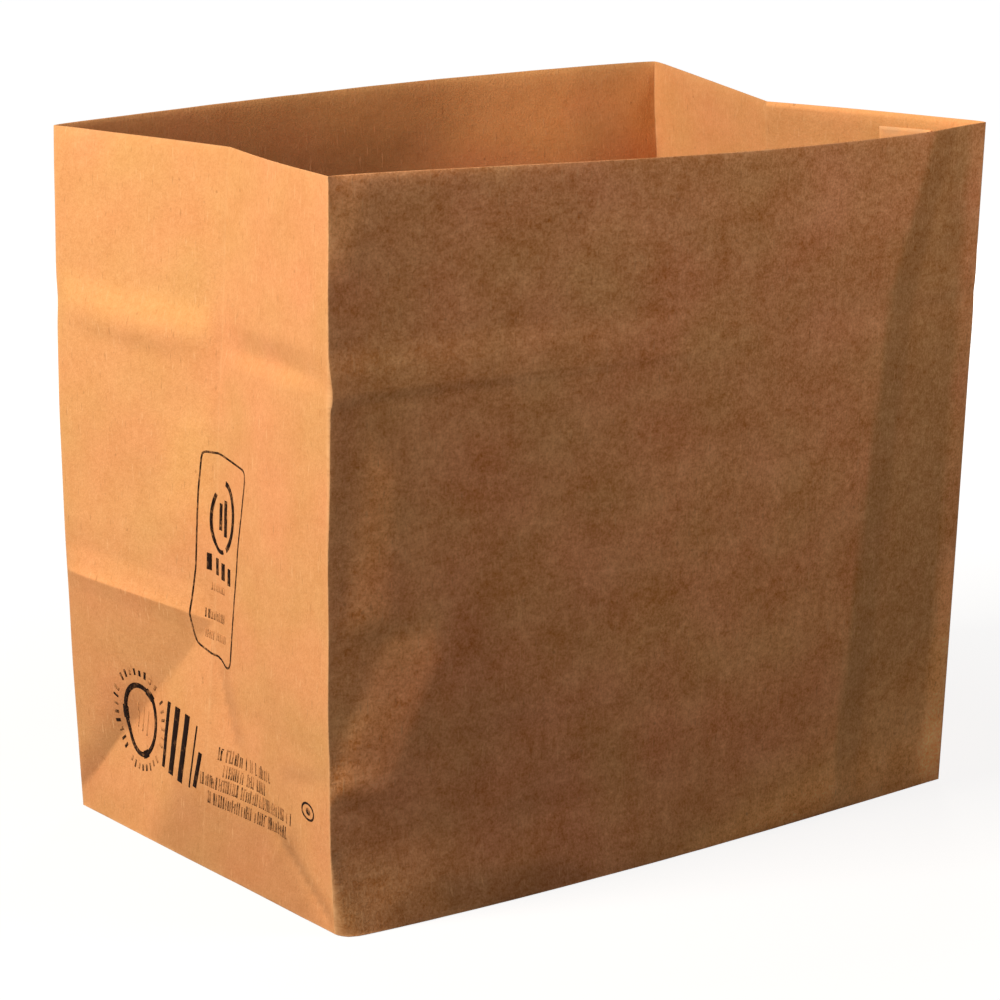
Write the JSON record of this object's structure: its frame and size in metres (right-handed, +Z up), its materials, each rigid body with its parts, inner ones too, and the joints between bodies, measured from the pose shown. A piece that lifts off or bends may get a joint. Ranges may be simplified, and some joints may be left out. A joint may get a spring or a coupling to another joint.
{
  "type": "paper lunch bag",
  "caption": "Open block-bottom bag folded from brown kraft paper, with creased side gussets and a flat glued bottom, standing by itself.",
  "frame": {"origin": "middle of the folded bottom, on the surface that the bag stands on", "axes": "+X along the front panel from left to right, +Y from the front panel to the back panel, +Z up to the open rim"},
  "size_m": [0.2733, 0.19, 0.2476],
  "materials": {
    "kraft_paper": "matte uncoated brown kraft",
    "print_ink": "matte dark brown printing ink"
  },
  "bodies": {
    "root": {"paper_bag": "kraft_paper"}
  },
  "joints": []
}
